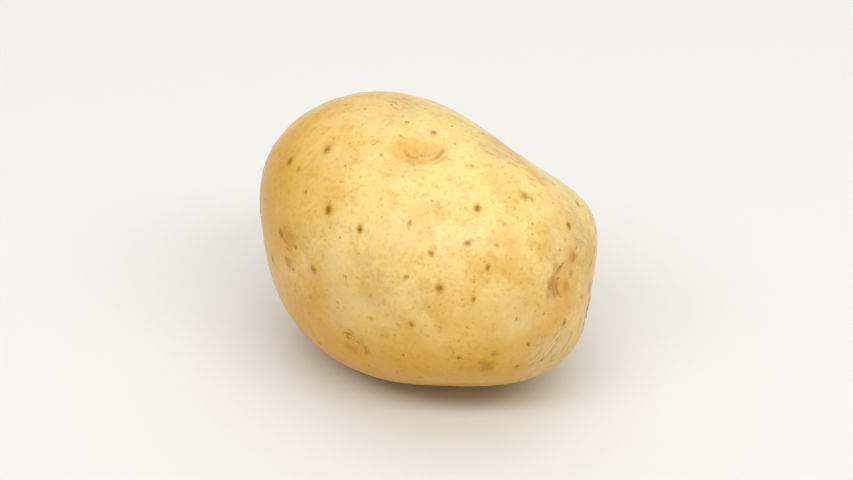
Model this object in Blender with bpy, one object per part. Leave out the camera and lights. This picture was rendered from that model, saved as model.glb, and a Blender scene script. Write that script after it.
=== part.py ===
"""A potato: one pale yellow table potato that rests on a small flat spot.

Metres, +Z up. The origin is on the resting plane, under the middle of the
potato. +X runs along its longest extent, from the heel, where the runner of
the plant held it, to the rose end, where the eyes crowd together.
"""
import bmesh
import bpy
import numpy as np

# Driving dimensions, in millimetres.
LENGTH = 82.0       # heel to rose end, along X
WIDTH = 64.0        # across, along Y
HEIGHT = 60.0       # resting plane to crown, along Z
REST_DEPTH = 0.7    # how much of the round underside the flat spot takes off

# Overall form.
FULLNESS = 2.3      # 2 is an ellipsoid, more is squarer in the shoulders
TAPER = 0.04        # share of its thickness that the rose end loses
CELLS = 20          # faces along each side of the cube that the form starts from

# Broad swells and hollows of the tuber. Each has the direction in which it
# lies from the middle, its height in mm, negative for a hollow, and its
# spread in degrees.
SWELLS = {
    "front flank": ((-0.65, -0.75, -0.15), -3.5, 28.0),
    "low front": ((-0.15, -0.60, -0.80), 1.5, 20.0),
    "back slope": ((0.15, 0.75, 0.65), -4.0, 20.0),
    "saddle": ((0.45, 0.55, 0.70), -2.8, 11.0),
    "back knob": ((0.75, 0.60, 0.25), 1.0, 14.0),
    "blunt rose end": ((0.95, 0.30, -0.10), -2.5, 25.0),
    "rose end, below": ((0.85, 0.00, -0.50), 3.0, 18.0),
    "under the front": ((0.45, -0.50, -0.75), -1.7, 16.0),
    "heel shoulder": ((-0.80, 0.00, 0.60), 2.0, 22.0),
}

# Eyes and the heel scar. Each has the direction in which it lies from the
# middle, the half width of its dimple and its depth in mm.
EYES = {
    "crown eye": ((0.09, -0.20, 0.97), 6.5, 0.9),
    "rose eye": ((0.97, -0.08, 0.20), 5.5, 1.3),
    "low front eye": ((0.05, -0.93, -0.36), 4.5, 0.6),
    "heel front eye": ((-0.42, -0.87, 0.26), 5.0, 0.5),
    "low rose eye": ((0.90, 0.30, -0.32), 5.0, 0.9),
    "saddle eye": ((0.36, 0.88, 0.30), 6.0, 1.0),
    "back eye": ((-0.42, 0.86, -0.28), 6.0, 0.9),
    "back shoulder eye": ((-0.55, 0.55, 0.63), 5.5, 0.7),
    "low back eye": ((0.35, 0.62, -0.70), 5.5, 0.8),
    "heel scar": ((-0.98, 0.12, -0.16), 4.5, 1.2),
}

SKIN_COLOUR = (0.79, 0.53, 0.19, 1.0)
SKIN_ROUGHNESS = 0.5
MM = 0.001


def clear_scene():
    for old in list(bpy.data.objects):
        bpy.data.objects.remove(old, do_unlink=True)


def unit(vectors):
    vectors = np.asarray(vectors, dtype=float)
    return vectors / np.linalg.norm(vectors, axis=-1, keepdims=True)


def round_cube():
    """A cube of square cells, and the direction of each corner from its middle."""
    bm = bmesh.new()
    bmesh.ops.create_cube(bm, size=2.0)
    bmesh.ops.subdivide_edges(bm, edges=bm.edges[:], cuts=CELLS - 1, use_grid_fill=True)
    corners = np.array([vert.co[:] for vert in bm.verts])
    # The tangent gives every cell about the same size once it is on a sphere.
    return bm, unit(np.tan(corners * np.pi / 4))


def egg(directions):
    """The plain form: a full, slightly tapered egg, and its outward normals."""
    half = np.array([LENGTH, WIDTH, HEIGHT]) / 2
    reach = (np.abs(directions) ** FULLNESS).sum(axis=1) ** (-1 / FULLNESS)
    points = directions * reach[:, None] * half
    thickness = 1 - TAPER * points[:, 0] / half[0]
    points[:, 1:] *= thickness[:, None]
    return points, unit(directions / half)


def swell(directions):
    """How far the broad swells lift each point."""
    lift = np.zeros(len(directions))
    for towards, height, spread in SWELLS.values():
        angle = np.degrees(np.arccos(np.clip(directions @ unit(towards), -1, 1)))
        lift += height * np.exp(-0.5 * (angle / spread) ** 2)
    return lift


def dimple(directions, points):
    """How far the eyes sink each point."""
    sink = np.zeros(len(points))
    for towards, half_width, depth in EYES.values():
        centre = points[np.argmax(directions @ unit(towards))]
        distance = np.linalg.norm(points - centre, axis=1)
        sink += depth * np.exp(-((distance / half_width) ** 2))
    return sink


def set_on_flat_spot(points):
    """Gives the form its exact sizes, and cuts its underside at the resting plane."""
    low, high = points.min(axis=0), points.max(axis=0)
    size = np.array([LENGTH, WIDTH, HEIGHT + REST_DEPTH])
    points = (points - (low + high) / 2) * size / (high - low)
    points[:, 2] += HEIGHT - size[2] / 2
    points[:, 2] = np.maximum(points[:, 2], 0)
    return points


def potato_points(directions):
    points, normals = egg(directions)
    points = points + normals * swell(directions)[:, None]
    points = points - normals * dimple(directions, points)[:, None]
    return set_on_flat_spot(points)


def skin_material():
    material = bpy.data.materials.new("potato skin")
    material.use_nodes = True
    shader = material.node_tree.nodes["Principled BSDF"]
    shader.inputs["Base Color"].default_value = SKIN_COLOUR
    shader.inputs["Roughness"].default_value = SKIN_ROUGHNESS
    shader.inputs["Metallic"].default_value = 0.0
    return material


def build_potato(collection):
    bm, directions = round_cube()
    for vert, point in zip(bm.verts, potato_points(directions)):
        vert.co = point * MM
    bmesh.ops.recalc_face_normals(bm, faces=bm.faces[:])
    mesh = bpy.data.meshes.new("potato")
    bm.to_mesh(mesh)
    bm.free()
    mesh.shade_smooth()
    mesh.materials.append(skin_material())
    collection.objects.link(bpy.data.objects.new("potato", mesh))


def main():
    clear_scene()
    collection = bpy.data.collections.new("potato")
    bpy.context.scene.collection.children.link(collection)
    build_potato(collection)


main()
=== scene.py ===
"""A washed yellow potato, resting on a pale studio floor.

Lengths are in metres, and MM turns the sizes given in millimetres into them.
"""
from functools import partial
from math import cos, pi, radians, sin

import bmesh
import bpy
import numpy as np
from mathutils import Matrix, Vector, noise
from mathutils.bvhtree import BVHTree


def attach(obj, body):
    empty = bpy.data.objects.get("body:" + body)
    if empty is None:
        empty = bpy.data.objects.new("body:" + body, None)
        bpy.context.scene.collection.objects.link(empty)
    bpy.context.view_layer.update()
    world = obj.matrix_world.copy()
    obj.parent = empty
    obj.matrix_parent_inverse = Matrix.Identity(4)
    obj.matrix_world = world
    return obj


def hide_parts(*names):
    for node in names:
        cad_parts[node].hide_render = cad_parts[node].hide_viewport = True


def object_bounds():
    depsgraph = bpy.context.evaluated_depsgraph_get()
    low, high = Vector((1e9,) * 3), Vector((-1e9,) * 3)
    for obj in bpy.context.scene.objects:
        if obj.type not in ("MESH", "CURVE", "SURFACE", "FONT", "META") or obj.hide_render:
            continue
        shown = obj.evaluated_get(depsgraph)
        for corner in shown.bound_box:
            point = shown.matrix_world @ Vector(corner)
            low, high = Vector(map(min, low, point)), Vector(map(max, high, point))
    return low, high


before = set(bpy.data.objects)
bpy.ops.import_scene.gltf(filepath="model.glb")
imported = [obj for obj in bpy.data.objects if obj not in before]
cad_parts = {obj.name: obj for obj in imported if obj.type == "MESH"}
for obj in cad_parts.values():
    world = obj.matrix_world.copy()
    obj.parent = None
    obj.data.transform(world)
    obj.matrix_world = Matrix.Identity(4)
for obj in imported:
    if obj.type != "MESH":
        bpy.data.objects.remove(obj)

MM = 0.001
CAD_LOW, CAD_HIGH = [np.array(corner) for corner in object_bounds()]
MIDDLE = (CAD_LOW + CAD_HIGH) / 2
HALF_SIZE = (CAD_HIGH - CAD_LOW) / 2

# The skin is a cube of square cells blown up onto the tuber.
CELL_LEVEL = 7          # 2 ** 7 cells along each edge of the cube, about 0.6 mm each
SMOOTHING_ROUNDS = 40   # takes the facets out of the solid under the skin
SHEET_MARGIN = 0.01     # gap round each side of the cube on the bake sheet

# Directions are from the middle of the tuber, in shares of its half sizes.
# +X is the rose end, -X the heel, -Y the front and +Z the crown.

# Each eye has the way to it, its half width in mm, the way its brow faces,
# how deep its folds are in mm, and how brown they are.
EYES = {
    "crown eye": ((0.09, -0.20, 0.97), 5.4, (0.55, -0.80, -0.10), 0.26, 0.50),
    "rose eye": ((0.97, -0.08, 0.20), 4.6, (-0.45, -0.85, 0.30), 0.42, 0.65),
    "low front eye": ((0.05, -0.93, -0.36), 4.0, (0.75, -0.10, 0.60), 0.34, 0.80),
    "heel front eye": ((-0.42, -0.87, 0.26), 3.4, (-0.85, 0.20, -0.40), 0.14, 0.40),
    "low rose eye": ((0.90, 0.30, -0.32), 4.0, (-0.20, 0.40, -0.90), 0.36, 0.80),
    "saddle eye": ((0.36, 0.88, 0.30), 5.0, (-0.90, 0.20, -0.30), 0.42, 0.75),
    "back eye": ((-0.42, 0.86, -0.28), 4.8, (-0.90, -0.20, 0.20), 0.40, 0.80),
    "back shoulder eye": ((-0.55, 0.55, 0.63), 4.6, (-0.90, 0.00, -0.40), 0.30, 0.60),
    "low back eye": ((0.35, 0.62, -0.70), 4.6, (-0.90, 0.20, 0.30), 0.36, 0.80),
}
EYE_FLATNESS = 1.25     # how much wider an eye is than it is tall
EYE_EDGE = 2.0          # half widths from an eye's middle to where it ends
EYE_WOBBLE_SIZE, EYE_WOBBLE = 3.0 * MM, 0.16
EYE_WOBBLE_SEED = 7
OUT_OF_REACH = 9.0      # half widths from a middle to a place that no eye or lenticel reaches

# An eye's folds. Each has its distance from the eye's middle in half widths,
# the middle of its arc and half its span in degrees from the brow, and how
# strong it is. The bud sits in the gap between the two long ones.
FOLDS = [
    (0.80, -56, 42, 1.00),
    (0.84, 48, 42, 0.90),
    (0.46, -20, 40, 0.35),
    (1.18, -38, 19, 0.45),
    (1.15, 0, 15, 0.40),
    (1.22, 31, 19, 0.50),
]
GROOVE_DEPTH, GROOVE_WIDTH = 1.2, 0.13
BROW_HEIGHT, BROW_WIDTH = 0.9, 0.17
BROW_DISTANCE = 0.24    # from a fold's groove out to the top of its brow
FOLD_BAND = 0.21        # how far from a groove's middle its brown reaches
BUD = (0.05, 0.62)
BUD_RADIUS, BUD_HEIGHT = 0.15, 0.8

HEEL_SCAR = (-0.98, 0.12, -0.16)
HEEL_SCAR_RADIUS = 2.2      # in mm, as are the next two
HEEL_SCAR_RIM, HEEL_SCAR_DEPTH = 0.25, 0.7

# Large lenticels, on top of the small ones that are scattered over the skin.
LARGE_LENTICELS = 84
LARGE_LENTICEL_WIDTHS = (1.0, 2.1)      # in mm, and only a few are near the widest
LARGE_LENTICEL_SHADES = (0.3, 0.9)
LENTICEL_SHAKE = 0.13   # about how far each moves from its even place, in shares of the half sizes
LENTICEL_SEED = 4
GOLDEN_ANGLE = 3 - 5 ** 0.5     # in half turns: it spreads the points of a spiral most evenly

# Patches of skin that are another colour: the way to each and its radius in mm.
PATCHES = {
    "golden_patch": [
        ((0.74, -0.43, 0.52), 6.0),
        ((0.95, 0.06, 0.32), 5.0),
        ((0.00, -0.29, 0.96), 4.0),
        ((-0.46, -0.86, 0.22), 6.5),
        ((0.00, -0.88, -0.47), 5.0),
        ((0.96, 0.26, 0.10), 8.0),
        ((0.98, -0.12, 0.05), 7.0),
        ((-0.20, 0.80, 0.55), 9.0),
        ((0.50, 0.75, -0.40), 8.0),
        ((-0.90, 0.20, 0.35), 8.0),
        ((-0.60, 0.10, -0.80), 9.0),
    ],
    "pale_patch": [
        ((0.05, -1.00, -0.02), 8.0),
        ((-0.02, -0.94, 0.33), 7.0),
        ((0.25, -0.72, 0.64), 7.0),
        ((-0.27, -0.50, 0.82), 5.0),
        ((0.38, 0.20, 0.90), 7.0),
        ((-0.10, 0.05, 1.00), 7.0),
        ((-0.37, -0.03, 0.93), 8.0),
        ((0.85, 0.05, 0.60), 6.0),
        ((0.84, -0.50, 0.08), 6.0),
        ((0.92, -0.22, -0.34), 8.0),
        ((0.00, 0.95, 0.10), 12.0),
        ((-0.80, -0.30, -0.50), 9.0),
    ],
    "corky_patch": [
        ((0.95, -0.21, 0.23), 2.7),
        ((0.98, -0.06, 0.13), 1.6),
        ((0.95, 0.06, 0.32), 1.5),
        ((0.95, 0.29, -0.09), 1.8),
        ((0.02, -0.91, -0.41), 1.9),
        ((-0.42, -0.86, 0.27), 2.4),
        ((-0.44, -0.89, 0.08), 1.6),
        ((0.72, -0.62, -0.31), 2.2),
        ((0.34, 0.90, 0.22), 2.2),
        ((-0.50, 0.82, -0.25), 2.4),
        ((0.28, 0.66, -0.70), 2.0),
        ((0.88, 0.32, -0.40), 2.0),
    ],
}

# Scuffs, where the skin was rubbed: the way to each, its radius in mm, how
# hard it was rubbed, and the way that it was rubbed.
SCUFFS = {
    "low rose scuff": ((0.90, -0.26, -0.36), 10.0, 1.0, (0.30, 0.75, 0.60)),
    "crown rim scuff": ((0.40, 0.24, 0.89), 8.0, 0.9, (0.90, 0.10, -0.40)),
    "crown scuff": ((-0.25, 0.18, 0.95), 5.0, 0.9, (1.00, -0.30, 0.00)),
    "flank netting": ((0.18, -0.92, 0.28), 9.0, 0.6, (0.13, 0.68, 0.73)),
    "rose rim scuff": ((0.93, 0.20, 0.45), 6.0, 0.8, (0.20, 0.60, -0.80)),
    "back scuff": ((-0.10, 0.97, 0.20), 11.0, 1.0, (0.80, 0.00, 0.60)),
    "heel scuff": ((-0.90, -0.25, -0.35), 8.0, 0.9, (0.10, 0.90, 0.30)),
    "belly scuff": ((-0.35, -0.10, -0.93), 12.0, 1.0, (0.70, 0.70, 0.00)),
}
SCUFF_STRETCH = 0.85    # how much of a scuff's grain is drawn out along it


def linear(hex_colour):
    """An sRGB hex colour as linear red, green, blue and alpha."""
    shares = [int(hex_colour[i:i + 2], 16) / 255 for i in (1, 3, 5)]
    return (*[s / 12.92 if s <= 0.04045 else ((s + 0.055) / 1.055) ** 2.4 for s in shares], 1.0)


def add(tree, kind, inputs=(), out=0, **settings):
    """Adds a node and returns its output. Its inputs take values or other outputs."""
    node = tree.nodes.new(kind)
    for name, value in settings.items():
        setattr(node, name, value)
    for name, value in dict(inputs).items():
        if isinstance(value, bpy.types.NodeSocket):
            tree.links.new(value, node.inputs[name])
        else:
            node.inputs[name].default_value = value
    return node.outputs[out] if node.outputs else node


def unit(vectors):
    vectors = np.asarray(vectors, dtype=float)
    return vectors / np.linalg.norm(vectors, axis=-1, keepdims=True)


def read(items, name):
    values = np.empty(len(items) * 3)
    items.foreach_get(name, values)
    return values.reshape(-1, 3)


def store(mesh, name, values):
    """Stores one number or one vector for each vertex."""
    kind, key = ("FLOAT", "value") if values.ndim == 1 else ("FLOAT_VECTOR", "vector")
    layer = mesh.attributes.new(name, kind, "POINT")
    layer.data.foreach_set(key, values.ravel())


def evaluated_mesh(piece):
    """The mesh that a piece's modifiers make, which are then removed."""
    graph = bpy.context.evaluated_depsgraph_get()
    mesh = bpy.data.meshes.new_from_object(piece.evaluated_get(graph))
    piece.modifiers.clear()
    return mesh


def add_piece(name, mesh):
    piece = bpy.data.objects.new(name, mesh)
    bpy.context.scene.collection.objects.link(piece)
    return piece


# --- The skin's form ------------------------------------------------------

def cube_on_sheet():
    """A cube with its six sides laid out in three columns and two rows on the bake sheet."""
    bm = bmesh.new()
    bmesh.ops.create_cube(bm, size=2.0)
    sheet = bm.loops.layers.uv.new("OFBake")
    across, up = 1 / 3, 1 / 2
    corners = ((0, 0), (1, 0), (1, 1), (0, 1))
    for side, face in enumerate(bm.faces):
        column, row = side % 3, side // 3
        for loop, (u, v) in zip(face.loops, corners):
            u = column + SHEET_MARGIN + u * (1 - 2 * SHEET_MARGIN)
            v = row + SHEET_MARGIN + v * (1 - 2 * SHEET_MARGIN)
            loop[sheet].uv = (u * across, v * up)
    mesh = bpy.data.meshes.new("cube on sheet")
    bm.to_mesh(mesh)
    bm.free()
    return mesh


def surface_of(node):
    """The CAD solid as something that a ray can hit."""
    bm = bmesh.new()
    bm.from_mesh(node.data)
    bmesh.ops.remove_doubles(bm, verts=bm.verts[:], dist=0.001 * MM)
    surface = BVHTree.FromBMesh(bm)
    bm.free()
    return surface


def hit(surface, towards):
    """The point of the surface that lies in a direction from the middle."""
    ray = Vector(np.asarray(towards) * HALF_SIZE)
    return surface.ray_cast(Vector(MIDDLE), ray.normalized())[0]


def skin_on(surface):
    """A fine, even skin that lies on the tuber, with its facets smoothed away."""
    skin = add_piece("skin", cube_on_sheet())
    cells = skin.modifiers.new("cells", "SUBSURF")
    cells.subdivision_type = "SIMPLE"
    cells.levels = cells.render_levels = CELL_LEVEL
    skin.data = evaluated_mesh(skin)
    # The tangent gives every cell about the same size once it is on the tuber.
    ways = unit(np.tan(read(skin.data.vertices, "co") * pi / 4))
    points = np.array([hit(surface, way) for way in ways])
    skin.data.vertices.foreach_set("co", points.ravel())
    smooth = skin.modifiers.new("smooth", "SMOOTH")
    smooth.factor = 0.5
    smooth.iterations = SMOOTHING_ROUNDS
    skin.data = evaluated_mesh(skin)
    return skin


def bump(distance, width):
    return np.exp(-((distance / width) ** 2))


def place_on(points, normals, towards, up):
    """A place on the skin and its three directions: sideways, up along the skin, outwards."""
    nearest = np.argmax(unit((points - MIDDLE) / HALF_SIZE) @ unit(towards))
    outwards = normals[nearest]
    up = unit(up - outwards * (outwards @ up))
    return points[nearest], np.stack((np.cross(up, outwards), up, outwards))


def fold_height(local):
    """Height of an eye's folds. local is each point's place in the eye, in half widths."""
    side, brow = local[:, 0], local[:, 1] * EYE_FLATNESS
    reach, angle = np.hypot(side, brow), np.degrees(np.arctan2(side, brow))
    height = BUD_HEIGHT * bump(np.hypot(side - BUD[0], brow - BUD[1]), BUD_RADIUS * 1.3)
    for at, middle, half_span, strength in FOLDS:
        span = bump(angle - middle, half_span)
        height -= GROOVE_DEPTH * strength * span * bump(reach - at, GROOVE_WIDTH)
        height += BROW_HEIGHT * strength * span * bump(reach - at - BROW_DISTANCE, BROW_WIDTH)
    # An eye fades out above and below the skin, so none shows on the far side.
    return height * bump(local[:, 2], 1.5)


def carve_eyes(mesh):
    """Folds the skin at each eye, and stores each point's place in the nearest eye."""
    points, normals = read(mesh.vertices, "co"), read(mesh.vertex_normals, "vector")
    # Without a seed of its own, this noise would start from the clock.
    noise.seed_set(EYE_WOBBLE_SEED)
    wobble = np.array([noise.noise_vector(Vector(point) / EYE_WOBBLE_SIZE) for point in points])
    lift, brown = np.zeros(len(points)), np.zeros(len(points))
    # Far from every eye, the stored place is one that no eye reaches.
    place = np.tile((0.0, 0.0, OUT_OF_REACH), (len(points), 1))
    for towards, half_width, brow, depth, brownness in EYES.values():
        centre, axes = place_on(points, normals, towards, np.array(brow))
        local = (points - centre) @ axes.T / (half_width * MM) + wobble * EYE_WOBBLE
        lift += depth * MM * fold_height(local)
        inside = np.linalg.norm(local, axis=1) < EYE_EDGE
        place[inside] = local[inside]
        brown[inside] = brownness
    store(mesh, "eye", place)
    store(mesh, "eye_brown", brown)
    mesh.vertices.foreach_set("co", (points + normals * lift[:, None]).ravel())


def press_heel_scar(mesh):
    """The dry, round scar where the tuber came off its runner."""
    points, normals = read(mesh.vertices, "co"), read(mesh.vertex_normals, "vector")
    centre, axes = place_on(points, normals, HEEL_SCAR, np.array((0, 0, 1)))
    local = (points - centre) @ axes.T / (HEEL_SCAR_RADIUS * MM)
    reach = np.linalg.norm(local, axis=1)
    lift = HEEL_SCAR_RIM * bump(reach - 1.0, 0.3) - HEEL_SCAR_DEPTH * bump(reach, 0.75)
    store(mesh, "heel_scar", local)
    mesh.vertices.foreach_set("co", (points + normals * lift[:, None] * MM).ravel())


def colour_patches(mesh):
    """Stores how much of each kind of patch there is at each point, from 0 to 1."""
    points, normals = read(mesh.vertices, "co"), read(mesh.vertex_normals, "vector")
    for kind, spots in PATCHES.items():
        amount = np.zeros(len(points))
        for towards, radius in spots:
            centre, _ = place_on(points, normals, towards, np.array((0, 0, 1)))
            distance = np.linalg.norm(points - centre, axis=1)
            amount = np.maximum(amount, bump(distance, radius * MM))
        store(mesh, kind, amount)


def rub_scuffs(mesh):
    """Stores how scuffed each point is, and its place in a grain drawn out along the scuff."""
    points, normals = read(mesh.vertices, "co"), read(mesh.vertex_normals, "vector")
    scuffed, grain = np.zeros(len(points)), points.copy()
    for towards, radius, hardness, along in SCUFFS.values():
        centre, _ = place_on(points, normals, towards, np.array((0, 0, 1)))
        amount = hardness * bump(np.linalg.norm(points - centre, axis=1), radius * MM)
        here = amount > scuffed
        scuffed[here] = amount[here]
        way = unit(along)
        drawn_out = points - SCUFF_STRETCH * (points @ way)[:, None] * way
        grain[here] = drawn_out[here]
    store(mesh, "scuff", scuffed)
    store(mesh, "scuff_grain", grain)


# --- Lenticels and the small relief of the skin ---------------------------

def large_lenticels(surface):
    """One vertex for each large lenticel, with its width and how dark it is.

    They lie on a spiral that spreads them evenly, and each is then moved a
    little, so that no row of them shows.
    """
    random = np.random.default_rng(LENTICEL_SEED)
    steps = np.arange(LARGE_LENTICELS)
    turns = steps * pi * GOLDEN_ANGLE
    up = 1 - (2 * steps + 1) / LARGE_LENTICELS
    across = np.sqrt(1 - up ** 2)
    ways = np.stack((across * np.cos(turns), across * np.sin(turns), up), axis=1)
    ways = unit(ways + random.normal(0.0, LENTICEL_SHAKE, ways.shape))
    widths = np.interp(random.random(LARGE_LENTICELS) ** 2, (0, 1), LARGE_LENTICEL_WIDTHS)
    shades = np.interp(random.random(LARGE_LENTICELS), (0, 1), LARGE_LENTICEL_SHADES)
    mesh = bpy.data.meshes.new("large lenticels")
    mesh.from_pydata([hit(surface, way) for way in ways], [], [])
    store(mesh, "width", widths * MM)
    store(mesh, "shade", shades)
    return add_piece("large lenticels", mesh)


LENTICEL_EDGE = 2.2     # half widths from a lenticel's middle to where its halo ends
MOST_LENTICELS = 40000.0    # to a square metre, before the spacing thins them
RELIEF_INPUTS = {
    "Large lenticels": ("NodeSocketObject", None),
    "Spacing": ("NodeSocketFloat", 5.2 * MM),
    "Smallest width": ("NodeSocketFloat", 0.5 * MM),
    "Largest width": ("NodeSocketFloat", 1.3 * MM),
    "Lenticel height": ("NodeSocketFloat", 0.06 * MM),
    "Stretch": ("NodeSocketFloat", 0.30),
    "Swell size": ("NodeSocketFloat", 17 * MM),
    "Swell height": ("NodeSocketFloat", 0.8 * MM),
    "Dent size": ("NodeSocketFloat", 4.5 * MM),
    "Dent height": ("NodeSocketFloat", 0.15 * MM),
    "Seed": ("NodeSocketInt", 11),
    "Skin": ("NodeSocketMaterial", None),
}


def scattered_lenticels(node, given):
    """Points spread over the skin, none near a large one, joined with the large ones."""
    points = node("GeometryNodeDistributePointsOnFaces", {
        "Mesh": given["Geometry"], "Distance Min": given["Spacing"],
        "Density Max": MOST_LENTICELS, "Seed": given["Seed"],
    }, distribute_method="POISSON")
    chance = node("FunctionNodeRandomValue", {2: 0.0, 3: 1.0, "Seed": 1}, out=1)
    few_large = node("ShaderNodeMath", {0: chance, 1: 2.0}, operation="POWER")
    width = node("ShaderNodeMapRange", {
        "Value": few_large, "To Min": given["Smallest width"], "To Max": given["Largest width"],
    })
    shade = node("FunctionNodeRandomValue", {2: 0.15, 3: 0.75, "Seed": 2}, out=1)
    points = node("GeometryNodeStoreNamedAttribute", {
        "Geometry": points, "Name": "width", "Value": width,
    }, data_type="FLOAT", domain="POINT")
    points = node("GeometryNodeStoreNamedAttribute", {
        "Geometry": points, "Name": "shade", "Value": shade,
    }, data_type="FLOAT", domain="POINT")
    large = node("GeometryNodeObjectInfo", {"Object": given["Large lenticels"]}, out="Geometry")
    large = node("GeometryNodeMeshToPoints", {"Mesh": large})
    distance = node("GeometryNodeProximity", {0: large}, out="Distance", target_element="POINTS")
    too_near = node("ShaderNodeMath", {0: distance, 1: given["Spacing"]}, operation="LESS_THAN")
    points = node("GeometryNodeDeleteGeometry", {
        "Geometry": points, "Selection": too_near,
    }, domain="POINT")
    joined = node("GeometryNodeJoinGeometry")
    tree = joined.node.id_data
    tree.links.new(points, joined.node.inputs[0])
    tree.links.new(large, joined.node.inputs[0])
    return joined


def skin_relief_tree():
    """Spreads lenticels over a skin, and raises them and the skin's soft unevenness.

    Each vertex learns its place from the nearest lenticel's middle, in half
    widths, so the material can draw the lenticel far finer than the mesh.
    """
    tree = bpy.data.node_groups.new("skin relief", "GeometryNodeTree")
    tree.interface.new_socket("Geometry", in_out="INPUT", socket_type="NodeSocketGeometry")
    tree.interface.new_socket("Geometry", in_out="OUTPUT", socket_type="NodeSocketGeometry")
    for name, (kind, value) in RELIEF_INPUTS.items():
        socket = tree.interface.new_socket(name, in_out="INPUT", socket_type=kind)
        if value is not None:
            socket.default_value = value
    node = partial(add, tree)
    given = node("NodeGroupInput").node.outputs
    lenticels = scattered_lenticels(node, given)

    place = node("GeometryNodeInputPosition")
    nearest = node("GeometryNodeSampleNearest", {"Geometry": lenticels})
    middle = node("GeometryNodeSampleIndex", {
        "Geometry": lenticels, "Value": place, "Index": nearest,
    }, data_type="FLOAT_VECTOR")
    width, shade, stretch_way = [
        node("GeometryNodeSampleIndex", {
            "Geometry": lenticels, "Value": value, "Index": nearest,
        }, data_type=kind)
        for kind, value in (
            ("FLOAT", node("GeometryNodeInputNamedAttribute", {"Name": "width"}, data_type="FLOAT")),
            ("FLOAT", node("GeometryNodeInputNamedAttribute", {"Name": "shade"}, data_type="FLOAT")),
            ("FLOAT_VECTOR", node("FunctionNodeRandomValue", {
                0: (-1.0, -1.0, -1.0), 1: (1.0, 1.0, 1.0), "Seed": 3,
            }, data_type="FLOAT_VECTOR")),
        )
    ]
    # A lenticel is drawn out along its own direction by up to about half.
    stretch_way = node("ShaderNodeVectorMath", {0: stretch_way}, operation="NORMALIZE")
    offset = node("ShaderNodeVectorMath", {0: place, 1: middle}, operation="SUBTRACT")
    along = node("ShaderNodeVectorMath", {
        0: offset, 1: stretch_way,
    }, out="Value", operation="DOT_PRODUCT")
    along = node("ShaderNodeMath", {0: along, 1: given["Stretch"]}, operation="MULTIPLY")
    shorter = node("ShaderNodeVectorMath", {0: stretch_way, "Scale": along}, operation="SCALE")
    offset = node("ShaderNodeVectorMath", {0: offset, 1: shorter}, operation="SUBTRACT")
    half_widths = node("ShaderNodeMath", {0: 2.0, 1: width}, operation="DIVIDE")
    local = node("ShaderNodeVectorMath", {0: offset, "Scale": half_widths}, operation="SCALE")
    reach = node("ShaderNodeVectorMath", {0: local}, out="Value", operation="LENGTH")
    # Between lenticels, the stored place is one that no lenticel reaches. It
    # lies straight out of the skin, so no blend of the two is near a middle.
    normal = node("GeometryNodeInputNormal")
    far_out = node("ShaderNodeVectorMath", {0: normal, "Scale": OUT_OF_REACH}, operation="SCALE")
    outside = node("ShaderNodeMath", {0: reach, 1: LENTICEL_EDGE}, operation="GREATER_THAN")
    local = node("GeometryNodeSwitch", {
        "Switch": outside, "False": local, "True": far_out,
    }, input_type="VECTOR")

    rise = node("ShaderNodeMapRange", {
        "Value": reach, "From Min": 1.6, "From Max": 0.5, "To Min": 0.0, "To Max": given["Lenticel height"],
    }, interpolation_type="SMOOTHSTEP")
    for size, height in (("Swell size", "Swell height"), ("Dent size", "Dent height")):
        scale = node("ShaderNodeMath", {0: 1.0, 1: given[size]}, operation="DIVIDE")
        waves = node("ShaderNodeTexNoise", {"Vector": place, "Scale": scale, "Detail": 1.0})
        centred = node("ShaderNodeMath", {0: waves, 1: 0.5}, operation="SUBTRACT")
        rise = node("ShaderNodeMath", {0: centred, 1: given[height], 2: rise}, operation="MULTIPLY_ADD")
    push = node("ShaderNodeVectorMath", {0: normal, "Scale": rise}, operation="SCALE")
    skin = node("GeometryNodeSetPosition", {"Geometry": given["Geometry"], "Offset": push})
    for name, kind, value in (
        ("lenticel", "FLOAT_VECTOR", local), ("lenticel_shade", "FLOAT", shade),
    ):
        skin = node("GeometryNodeStoreNamedAttribute", {
            "Geometry": skin, "Name": name, "Value": value,
        }, data_type=kind, domain="POINT")
    skin = node("GeometryNodeRealizeInstances", {"Geometry": skin})
    skin = node("GeometryNodeSetMaterial", {"Geometry": skin, "Material": given["Skin"]})
    node("NodeGroupOutput", {"Geometry": skin})
    return tree


def set_inputs(modifier, values):
    identifiers = {s.name: s.identifier for s in modifier.node_group.interface.items_tree}
    for name, value in values.items():
        modifier[identifiers[name]] = value


def make_potato(node):
    surface = surface_of(node)
    potato = skin_on(surface)
    potato.name = "potato_skin"
    carve_eyes(potato.data)
    press_heel_scar(potato.data)
    colour_patches(potato.data)
    rub_scuffs(potato.data)
    large = large_lenticels(surface)
    relief = potato.modifiers.new("skin relief", "NODES")
    relief.node_group = skin_relief_tree()
    set_inputs(relief, {"Large lenticels": large, "Skin": skin_material()})
    potato.data = evaluated_mesh(potato)
    bpy.data.objects.remove(large)
    settle(potato.data)
    potato.data.shade_smooth()
    return potato


def settle(mesh):
    """Gives the skin the solid's own length, width and height, and sets it on the floor."""
    points = read(mesh.vertices, "co")
    low, high = points.min(axis=0), points.max(axis=0)
    low[2] = 0
    points = CAD_LOW + (points - low) * (CAD_HIGH - CAD_LOW) / (high - low)
    points[:, 2] = np.maximum(points[:, 2], 0)
    mesh.vertices.foreach_set("co", points.ravel())


# --- The skin's finish ----------------------------------------------------

SMOOTH = {"interpolation_type": "SMOOTHSTEP"}
BASE_COLOUR = "#F5D88B"

# Soft mottling of the skin. Each layer has the size of its blotches in mm,
# where in the noise it starts and is full, its strength and its colour.
BROAD_MOTTLING = [
    (8.0, 0.44, 0.72, 0.50, "#DDA836"),
    (5.0, 0.44, 0.78, 0.36, "#F0D29C"),
]
FINE_MOTTLING = [
    (6.0, 0.46, 0.80, 0.20, "#EFCB80"),
    (3.0, 0.50, 0.76, 0.32, "#C88E2C"),
    (1.1, 0.48, 0.74, 0.24, "#B67E14"),
]

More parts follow.
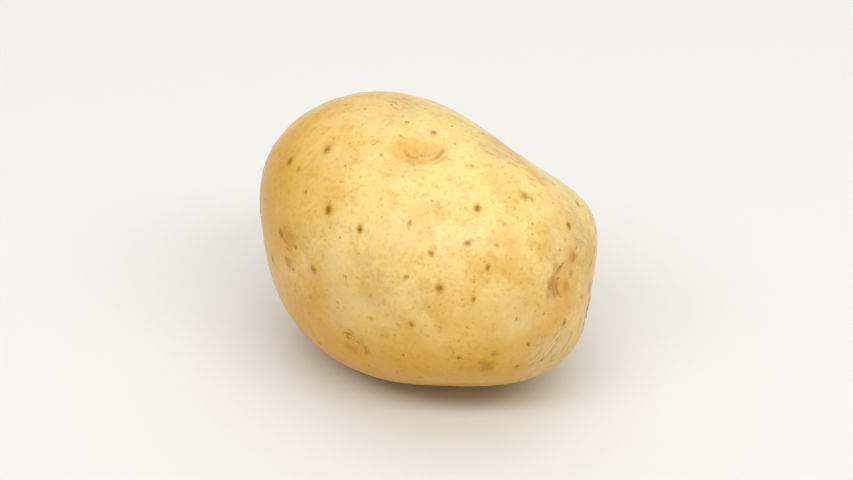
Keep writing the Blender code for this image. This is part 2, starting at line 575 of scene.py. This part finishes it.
# How each kind of patch looks: the size in mm of the blotches that break it
# up, how much they do, where it starts and is full, its strength and its colour.
PATCH_LOOKS = {
    "pale_patch": (5.0, 1.2, 0.15, 1.10, 0.42, "#F0D596"),
    "golden_patch": (6.0, 1.1, 0.15, 1.05, 0.50, "#DDA224"),
    "corky_patch": (1.2, 1.2, 0.12, 0.95, 0.85, "#BA800E"),
}


def mottled(node, place, mottling):
    """Each layer of mottling, as how much of it there is and its colour."""
    layers = []
    for size, start, full, strength, hue in mottling:
        blotches = node("ShaderNodeTexNoise", {
            "Vector": place, "Scale": 1 / (size * MM), "Detail": 3.0, "Distortion": 0.3,
        })
        mask = node("ShaderNodeMapRange", {
            "Value": blotches, "From Min": start, "From Max": full, "To Max": strength,
        }, **SMOOTH)
        layers.append((mask, hue))
    return layers


def pores(node, place):
    """Faint pores, far smaller than the lenticels, in some places only."""
    spots = node("ShaderNodeTexVoronoi", {"Vector": place, "Scale": 1 / (1.8 * MM)})
    spots = node("ShaderNodeMapRange", {
        "Value": spots, "From Min": 0.24, "From Max": 0.06, "To Max": 0.45,
    }, **SMOOTH)
    places = node("ShaderNodeTexNoise", {"Vector": place, "Scale": 1 / (8 * MM), "Detail": 2.0})
    places = node("ShaderNodeMapRange", {
        "Value": places, "From Min": 0.42, "From Max": 0.60,
    }, **SMOOTH)
    mask = node("ShaderNodeMath", {0: spots, 1: places}, operation="MULTIPLY")
    return [(mask, "#A97C1A")]


def painted_golden_shade(node, place):
    """Painted shade: skin made golden low in front and at the heel, standing in for shade and golden bounce
    light there, and paler on the crown, back and belly.
    """
    along, back, up = node("ShaderNodeSeparateXYZ", {0: place}).node.outputs
    cloud = node("ShaderNodeTexNoise", {"Vector": place, "Scale": 1 / (14 * MM), "Detail": 3.0})
    low = node("ShaderNodeMath", {0: cloud, 1: 30 * MM, 2: up}, operation="MULTIPLY_ADD")
    low = node("ShaderNodeMapRange", {
        "Value": low, "From Min": 66 * MM, "From Max": 28 * MM,
    }, **SMOOTH)
    heel = node("ShaderNodeMath", {0: cloud, 1: 20 * MM, 2: along}, operation="MULTIPLY_ADD")
    heel = node("ShaderNodeMapRange", {
        "Value": heel, "From Min": 13 * MM, "From Max": -21 * MM, "To Max": 0.92,
    }, **SMOOTH)
    golden = node("ShaderNodeMath", {0: low, 1: heel}, operation="MAXIMUM")
    strength = node("ShaderNodeMapRange", {
        "Value": back, "From Min": -22 * MM, "From Max": 4 * MM, "To Min": 0.92, "To Max": 0.42,
    }, **SMOOTH)
    golden = node("ShaderNodeMath", {0: golden, 1: strength}, operation="MULTIPLY")
    belly = node("ShaderNodeMapRange", {
        "Value": up, "From Min": 1 * MM, "From Max": 11 * MM, "To Min": 0.55, "To Max": 1.0,
    }, **SMOOTH)
    golden = node("ShaderNodeMath", {0: golden, 1: belly}, operation="MULTIPLY")
    # This golden colour is painted shade and golden bounce light, strongest low in front and at the heel,
    # and not the skin's own colour.
    return [(golden, "#D69C0C")]


def patch_marks(node, place):
    """The golden, pale and corky patches, with ragged edges."""
    layers = []
    for kind, (size, ragged, start, full, strength, hue) in PATCH_LOOKS.items():
        amount = node("ShaderNodeAttribute", out="Fac", attribute_name=kind)
        blotches = node("ShaderNodeTexNoise", {
            "Vector": place, "Scale": 1 / (size * MM), "Detail": 3.0,
        })
        amount = node("ShaderNodeMath", {
            0: blotches, 1: ragged, 2: amount,
        }, operation="MULTIPLY_ADD")
        mask = node("ShaderNodeMapRange", {
            "Value": amount, "From Min": start + ragged / 2, "From Max": full + ragged / 2,
            "To Max": strength,
        }, **SMOOTH)
        layers.append((mask, hue))
    return layers


def eye_marks(node, place, ragged):
    """The tint round each eye, its folds and its bud."""
    eye = node("ShaderNodeAttribute", out="Vector", attribute_name="eye")
    brown = node("ShaderNodeAttribute", out="Fac", attribute_name="eye_brown")
    wobble = node("ShaderNodeVectorMath", {0: ragged, "Scale": 0.10}, operation="SCALE")
    eye = node("ShaderNodeVectorMath", {0: eye, 1: wobble}, operation="ADD")
    eye = node("ShaderNodeVectorMath", {0: eye, 1: (1.0, EYE_FLATNESS, 1.0)}, operation="MULTIPLY")
    reach = node("ShaderNodeVectorMath", {0: eye}, out="Value", operation="LENGTH")
    side, brow, _ = node("ShaderNodeSeparateXYZ", {0: eye}).node.outputs
    angle = node("ShaderNodeMath", {0: side, 1: brow}, operation="ARCTAN2")
    blotches = node("ShaderNodeTexNoise", {"Vector": place, "Scale": 1 / (2.5 * MM), "Detail": 4.0})
    tint = node("ShaderNodeMath", {0: blotches, 1: 1.8, 2: reach}, operation="MULTIPLY_ADD")
    tint = node("ShaderNodeMapRange", {
        "Value": tint, "From Min": 2.6, "From Max": 1.0, "To Max": 0.55,
    }, **SMOOTH)
    folds = 0.0
    for at, middle, half_span, strength in FOLDS:
        across = node("ShaderNodeMath", {0: reach, 1: at}, operation="SUBTRACT")
        across = node("ShaderNodeMath", {0: across}, operation="ABSOLUTE")
        across = node("ShaderNodeMapRange", {
            "Value": across, "From Min": FOLD_BAND, "From Max": 0.0, "To Max": strength,
        }, **SMOOTH)
        along = node("ShaderNodeMath", {0: angle, 1: radians(middle)}, operation="SUBTRACT")
        along = node("ShaderNodeMath", {0: along}, operation="ABSOLUTE")
        along = node("ShaderNodeMapRange", {
            "Value": along, "From Min": radians(half_span * 1.1),
            "From Max": radians(half_span * 0.3),
        }, **SMOOTH)
        fold = node("ShaderNodeMath", {0: across, 1: along}, operation="MULTIPLY")
        folds = node("ShaderNodeMath", {0: folds, 1: fold}, operation="MAXIMUM")
    bud = node("ShaderNodeVectorMath", {0: eye, 1: (*BUD, 0.0)}, out="Value", operation="DISTANCE")
    bud = node("ShaderNodeMapRange", {
        "Value": bud, "From Min": BUD_RADIUS * 1.2, "From Max": BUD_RADIUS * 0.4,
    }, **SMOOTH)
    folds = node("ShaderNodeMath", {0: folds, 1: bud}, operation="MAXIMUM")
    folds = node("ShaderNodeMath", {0: folds, 1: brown}, operation="MULTIPLY")
    return [(tint, "#DCA02A"), (folds, "#A36B0C")], folds


def scuff_marks(node, place):
    """Rubbed skin: a dry, greyish patch with fine brown threads drawn out along it."""
    scuff = node("ShaderNodeAttribute", out="Fac", attribute_name="scuff")
    grain = node("ShaderNodeAttribute", out="Vector", attribute_name="scuff_grain")
    worn = node("ShaderNodeTexNoise", {"Vector": place, "Scale": 1 / (5 * MM), "Detail": 4.0})
    rubbed = node("ShaderNodeMath", {0: worn, 1: 1.0, 2: scuff}, operation="MULTIPLY_ADD")
    rubbed = node("ShaderNodeMapRange", {
        "Value": rubbed, "From Min": 0.72, "From Max": 1.45,
    }, **SMOOTH)
    dry = node("ShaderNodeMath", {0: rubbed, 1: 0.55}, operation="MULTIPLY")
    layers = [(dry, "#DDBD88")]
    # Threads lie where the drawn-out noise crosses its middle value.
    for size, half, strength, hue in ((1.5, 0.035, 0.52, "#A87C38"), (0.8, 0.03, 0.36, "#B48A48")):
        threads = node("ShaderNodeTexNoise", {
            "Vector": grain, "Scale": 1 / (size * MM), "Detail": 3.0,
        })
        threads = node("ShaderNodeMath", {0: threads, 1: 0.5}, operation="SUBTRACT")
        threads = node("ShaderNodeMath", {0: threads}, operation="ABSOLUTE")
        threads = node("ShaderNodeMapRange", {
            "Value": threads, "From Min": half, "From Max": 0.0, "To Max": strength,
        }, **SMOOTH)
        threads = node("ShaderNodeMath", {0: threads, 1: rubbed}, operation="MULTIPLY")
        layers.append((threads, hue))
    return layers, rubbed


def heel_marks(node, ragged):
    """The dry, brown scar at the heel and the tan ring round it."""
    heel = node("ShaderNodeAttribute", out="Vector", attribute_name="heel_scar")
    wobble = node("ShaderNodeVectorMath", {0: ragged, "Scale": 0.70}, operation="SCALE")
    heel = node("ShaderNodeVectorMath", {0: heel, 1: wobble}, operation="ADD")
    reach = node("ShaderNodeVectorMath", {0: heel}, out="Value", operation="LENGTH")
    layers = []
    for start, full, strength, hue in ((2.4, 0.8, 0.60, "#BC8C42"), (1.15, 0.35, 0.80, "#85602F")):
        mask = node("ShaderNodeMapRange", {
            "Value": reach, "From Min": start, "From Max": full, "To Max": strength,
        }, **SMOOTH)
        layers.append((mask, hue))
    return layers


def lenticel_marks(node, ragged):
    """Lenticels, the skin's breathing pores: a golden halo, a corky ring and a dark core."""
    lenticel = node("ShaderNodeAttribute", out="Vector", attribute_name="lenticel")
    shade = node("ShaderNodeAttribute", out="Fac", attribute_name="lenticel_shade")
    lenticel = node("ShaderNodeVectorMath", {0: lenticel, 1: ragged}, operation="ADD")
    reach = node("ShaderNodeVectorMath", {0: lenticel}, out="Value", operation="LENGTH")
    layers = []
    for start, full, strength, hue in (
        (2.1, 0.7, 0.42, "#D9A034"), (1.45, 0.40, 1.00, "#AE7A16"), (0.75, 0.10, 0.80, "#7A500C"),
    ):
        mask = node("ShaderNodeMapRange", {
            "Value": reach, "From Min": start, "From Max": full, "To Max": strength,
        }, **SMOOTH)
        mask = node("ShaderNodeMath", {0: mask, 1: shade}, operation="MULTIPLY")
        layers.append((mask, hue))
    return layers, mask


def skin_material():
    """Washed potato skin: a thin, corky skin, scrubbed clean, over moist, pale yellow flesh.

    It has a soft, waxy sheen and lets a little light into the flesh, so its
    shadows are golden; low in front and at the heel the skin is also painted
    golden as shade and bounce light. It is mottled at a few millimetres, and its lenticels,
    eye folds and scuffs are corky: browner, rougher and without sheen.
    """
    material = bpy.data.materials.new("washed potato skin")
    material.use_nodes = True
    tree = material.node_tree
    tree.nodes.clear()
    node = partial(add, tree)
    place = node("ShaderNodeTexCoord", out="Object")
    ragged = node("ShaderNodeTexNoise", {
        "Vector": place, "Scale": 1 / (0.5 * MM), "Detail": 2.0,
    }, out="Color")
    ragged = node("ShaderNodeVectorMath", {0: ragged, 1: (0.5, 0.5, 0.5)}, operation="SUBTRACT")

    # The golden layer after the broad mottling is painted shade and bounce light, low in front and at the
    # heel.
    skin = mottled(node, place, BROAD_MOTTLING) + painted_golden_shade(node, place)
    skin += mottled(node, place, FINE_MOTTLING) + patch_marks(node, place) + pores(node, place)
    eyes, folds = eye_marks(node, place, ragged)
    scuffs, rubbed = scuff_marks(node, place)
    lenticels, cores = lenticel_marks(node, ragged)
    colour = linear(BASE_COLOUR)
    for mask, hue in skin + eyes + scuffs + heel_marks(node, ragged) + lenticels:
        colour = node("ShaderNodeMix", {
            0: mask, 6: colour, 7: linear(hue),
        }, out=2, data_type="RGBA")

    corky = node("ShaderNodeMath", {0: cores, 1: folds}, operation="MAXIMUM")
    dry = node("ShaderNodeMath", {0: rubbed, 1: 0.6}, operation="MULTIPLY")
    corky = node("ShaderNodeMath", {0: corky, 1: dry}, operation="MAXIMUM")
    sheen = node("ShaderNodeTexNoise", {"Vector": place, "Scale": 1 / (3 * MM), "Detail": 3.0})
    sheen = node("ShaderNodeMapRange", {"Value": sheen, "To Min": 0.24, "To Max": 0.42})
    roughness = node("ShaderNodeMath", {0: corky, 1: 0.25, 2: sheen}, operation="MULTIPLY_ADD")
    wax = node("ShaderNodeMapRange", {"Value": corky, "To Min": 0.14, "To Max": 0.0})

    # Fine relief: each layer's value, and how high in mm it raises the skin.
    height = 0.0
    for size, raise_mm in ((0.35, 0.008), (1.4, 0.035)):
        grain = node("ShaderNodeTexNoise", {
            "Vector": place, "Scale": 1 / (size * MM), "Detail": 3.0,
        })
        height = node("ShaderNodeMath", {0: grain, 1: raise_mm, 2: height}, operation="MULTIPLY_ADD")
    for pressed, raise_mm in ((cores, -0.05), (folds, -0.06), (scuffs[-1][0], -0.05)):
        height = node("ShaderNodeMath", {0: pressed, 1: raise_mm, 2: height}, operation="MULTIPLY_ADD")
    relief = node("ShaderNodeBump", {"Strength": 1.0, "Distance": MM, "Height": height})

    shader = node("ShaderNodeBsdfPrincipled", {
        "Base Color": colour, "Roughness": roughness, "Normal": relief,
        "IOR": 1.42, "Specular IOR Level": 0.36,
        "Coat Weight": wax, "Coat Roughness": 0.20, "Coat IOR": 1.45,
        "Subsurface Weight": 0.15, "Subsurface Radius": (1.0, 0.6, 0.2),
        "Subsurface Scale": 3.0 * MM,
    })
    node("ShaderNodeOutputMaterial", {"Surface": shader})
    return material


# --- The studio -----------------------------------------------------------

FLOOR_RADIUS, SWEEP_RADIUS, SWEEP_ANGLE = 2.2, 1.2, 60
FLOOR_STEPS = 96
CAMERA_AZIMUTH, CAMERA_ELEVATION = radians(36), radians(33)
CAMERA_DISTANCE = 0.7
CAMERA_LENS_MM = 130
WALL_LIGHT, CEILING_LIGHT = 0.10, 0.50

# Each softbox has its azimuth and elevation in degrees, its width and height
# in metres and its power in watts.
SOFTBOXES = {
    "overhead strip": (36, 58, 3.2, 0.45, 23.0),
    "top": (200, 80, 1.6, 1.0, 5.0),
    "back strip": (216, 42, 2.4, 0.4, 4.0),
    "right side": (100, 45, 0.9, 0.9, 1.2),
}
SOFTBOX_DISTANCE = 1.6


def direction(azimuth, elevation):
    """Towards a place round the potato: azimuth 0 is in front, at -Y."""
    return Vector((
        sin(azimuth) * cos(elevation), -cos(azimuth) * cos(elevation), sin(elevation),
    ))


def make_floor():
    """White paper that lies flat, and sweeps up all round at a distance.

    It is matt, so it takes soft shadows and shows no glare.
    """
    turns = [radians(degrees) for degrees in range(0, SWEEP_ANGLE + 1, 5)]
    profile = [(0.0, 0.0)] + [
        (FLOOR_RADIUS + SWEEP_RADIUS * sin(turn), SWEEP_RADIUS * (1 - cos(turn)))
        for turn in turns
    ]
    bm = bmesh.new()
    corners = [bm.verts.new((across, 0, up)) for across, up in profile]
    edges = [bm.edges.new(pair) for pair in zip(corners, corners[1:])]
    bmesh.ops.spin(
        bm, geom=corners + edges, axis=(0, 0, 1), cent=(0, 0, 0), angle=2 * pi, steps=FLOOR_STEPS,
    )
    bmesh.ops.remove_doubles(bm, verts=bm.verts[:], dist=MM)
    bmesh.ops.recalc_face_normals(bm, faces=bm.faces[:])
    mesh = bpy.data.meshes.new("floor")
    bm.to_mesh(mesh)
    bm.free()
    mesh.shade_smooth()
    paper = bpy.data.materials.new("matt white paper")
    paper.use_nodes = True
    shader = paper.node_tree.nodes["Principled BSDF"]
    shader.inputs["Base Color"].default_value = linear("#E6E5E2")
    shader.inputs["Roughness"].default_value = 0.9
    mesh.materials.append(paper)
    add_piece("floor", mesh)


def make_softbox(name, azimuth, elevation, width, height, power):
    """A flat, evenly lit panel that faces the potato."""
    light = bpy.data.lights.new(name, "AREA")
    light.shape = "RECTANGLE"
    light.size, light.size_y = width, height
    light.energy = power
    lamp = bpy.data.objects.new(name, light)
    towards = direction(radians(azimuth), radians(elevation))
    lamp.location = Vector(MIDDLE) + towards * SOFTBOX_DISTANCE
    lamp.rotation_mode = "QUATERNION"
    lamp.rotation_quaternion = towards.to_track_quat("Z", "Y")
    bpy.context.scene.collection.objects.link(lamp)


def make_world():
    """Soft light from a pale ceiling that fades to darker walls at the horizon."""
    world = bpy.data.worlds.new("studio room")
    world.use_nodes = True
    tree = world.node_tree
    tree.nodes.clear()
    node = partial(add, tree)
    way = node("ShaderNodeTexCoord", out="Generated")
    height = node("ShaderNodeSeparateXYZ", {0: way}, out="Z")
    strength = node("ShaderNodeMapRange", {
        "Value": height, "From Min": 0.0, "From Max": 0.8,
        "To Min": WALL_LIGHT, "To Max": CEILING_LIGHT,
    }, interpolation_type="SMOOTHSTEP")
    background = node("ShaderNodeBackground", {"Color": linear("#FFFDF8"), "Strength": strength})
    node("ShaderNodeOutputWorld", {"Surface": background})
    bpy.context.scene.world = world


def make_camera():
    data = bpy.data.cameras.new("camera")
    data.lens = CAMERA_LENS_MM
    data.clip_start, data.clip_end = 0.05, 20
    camera = bpy.data.objects.new("camera", data)
    towards = direction(CAMERA_AZIMUTH, CAMERA_ELEVATION)
    camera.location = Vector(MIDDLE) + towards * CAMERA_DISTANCE
    camera.rotation_mode = "QUATERNION"
    camera.rotation_quaternion = towards.to_track_quat("Z", "Y")
    bpy.context.scene.collection.objects.link(camera)
    bpy.context.scene.camera = camera


bpy.context.scene.view_settings.view_transform = "Standard"
make_camera()
make_world()
make_floor()
for softbox, settings in SOFTBOXES.items():
    make_softbox(softbox, *settings)

potato = make_potato(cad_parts["potato"])
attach(potato, "root")
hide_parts("potato")
